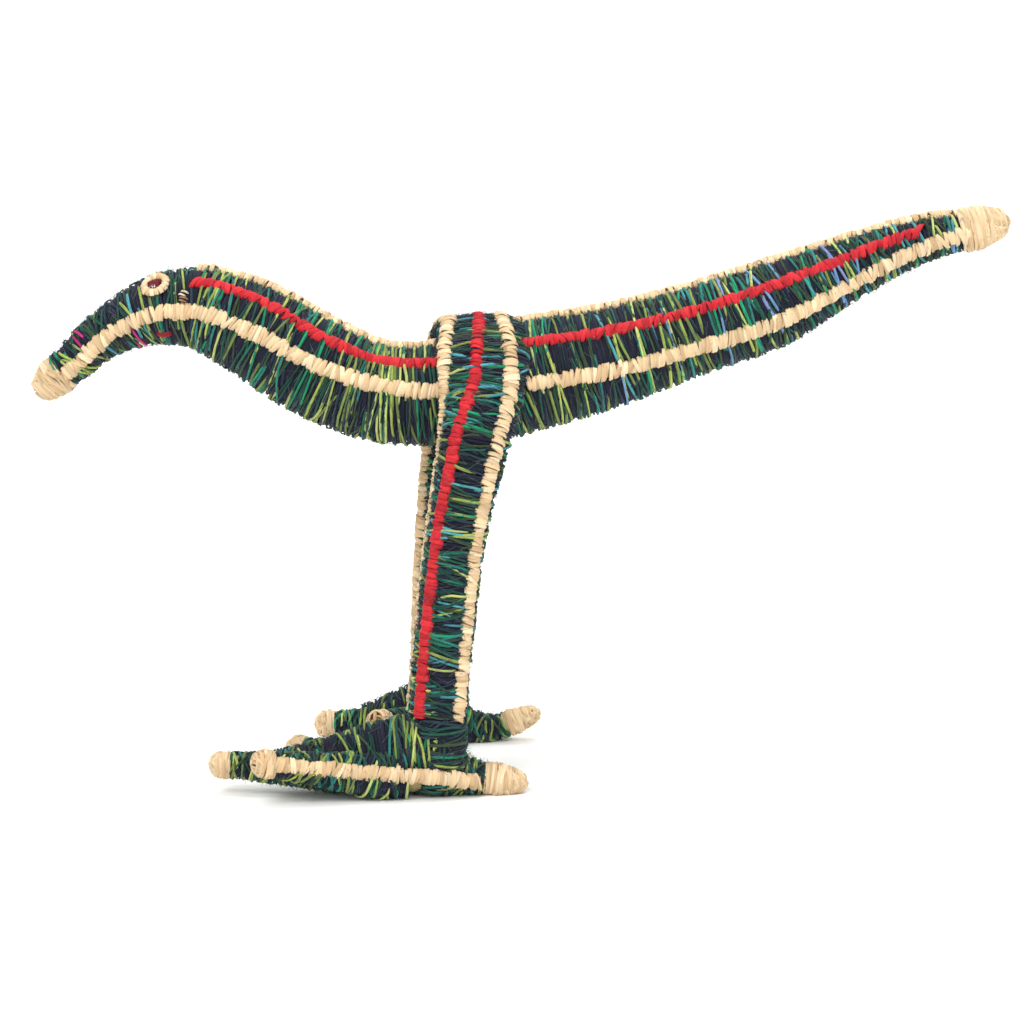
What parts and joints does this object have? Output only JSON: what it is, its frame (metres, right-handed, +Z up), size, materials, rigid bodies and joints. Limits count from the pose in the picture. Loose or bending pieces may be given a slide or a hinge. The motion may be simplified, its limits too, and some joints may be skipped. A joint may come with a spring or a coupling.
{
  "type": "wound fibre bird figure",
  "caption": "Standing bird figure of wool yarn wound over a grass core, with a long down-curved beak, a long rising tail, stitched raffia ridges and flat feet with raffia toe caps.",
  "frame": {"origin": "on the floor, under the middle of the overall length", "axes": "+X towards the tail and -X towards the beak, +Z up, -Y the bird's own left side"},
  "size_m": [0.5426, 0.1825, 0.3181],
  "materials": {
    "raffia": "natural raffia strips, stitched close together",
    "beak_wool": "wound wool yarn, navy with magenta, white and teal strands",
    "body_wool": "wound wool yarn, navy with lime, emerald and teal strands",
    "dry_grass": "bundled dry grass, counted as a light fibre",
    "twine": "rough plant twine",
    "red_raffia": "red dyed raffia strips, stitched close together",
    "foot_wool": "wound wool yarn, navy with lime and teal strands",
    "leg_wool": "wound wool yarn, navy with lime, teal and blue strands",
    "wire": "dull galvanised wire",
    "tail_wool": "wound wool yarn, navy with emerald and blue lilac strands"
  },
  "bodies": {
    "root": {"beak_cap": "raffia", "beak_wool": "beak_wool", "belly_wool": "body_wool", "body_grass": "dry_grass", "body_twine": "twine", "crown_line": "raffia", "head_wool": "body_wool", "hip_front_line": "raffia", "hip_rear_line": "raffia", "left_eye_centre": "red_raffia", "left_eye_ring": "raffia", "left_foot_edge_line": "raffia", "left_foot_grass": "dry_grass", "left_foot_wool": "foot_wool", "left_hind_toe_cap": "raffia", "left_inner_toe_cap": "raffia", "left_leg_front_line": "raffia", "left_leg_grass": "dry_grass", "left_leg_rear_line": "raffia", "left_leg_twine": "twine", "left_leg_wool": "leg_wool", "left_middle_toe_cap": "raffia", "left_mouth_stitch": "red_raffia", "left_outer_toe_cap": "raffia", "left_red_leg_line": "red_raffia", "left_red_neck_line": "red_raffia", "left_red_tail_line": "red_raffia", "left_side_line": "raffia", "left_tail_line": "raffia", "left_toe_wires": "wire", "leg_wire": "wire", "right_eye_centre": "red_raffia", "right_eye_ring": "raffia", "right_foot_edge_line": "raffia", "right_foot_grass": "dry_grass", "right_foot_wool": "foot_wool", "right_hind_toe_cap": "raffia", "right_inner_toe_cap": "raffia", "right_leg_front_line": "raffia", "right_leg_grass": "dry_grass", "right_leg_rear_line": "raffia", "right_leg_twine": "twine", "right_leg_wool": "leg_wool", "right_middle_toe_cap": "raffia", "right_mouth_stitch": "red_raffia", "right_outer_toe_cap": "raffia", "right_red_leg_line": "red_raffia", "right_red_neck_line": "red_raffia", "right_red_tail_line": "red_raffia", "right_side_line": "raffia", "right_tail_line": "raffia", "right_toe_wires": "wire", "saddle_wool": "leg_wool", "spine_wire": "wire", "tail_cap": "raffia", "tail_top_line": "raffia", "tail_wool": "tail_wool"}
  },
  "joints": []
}
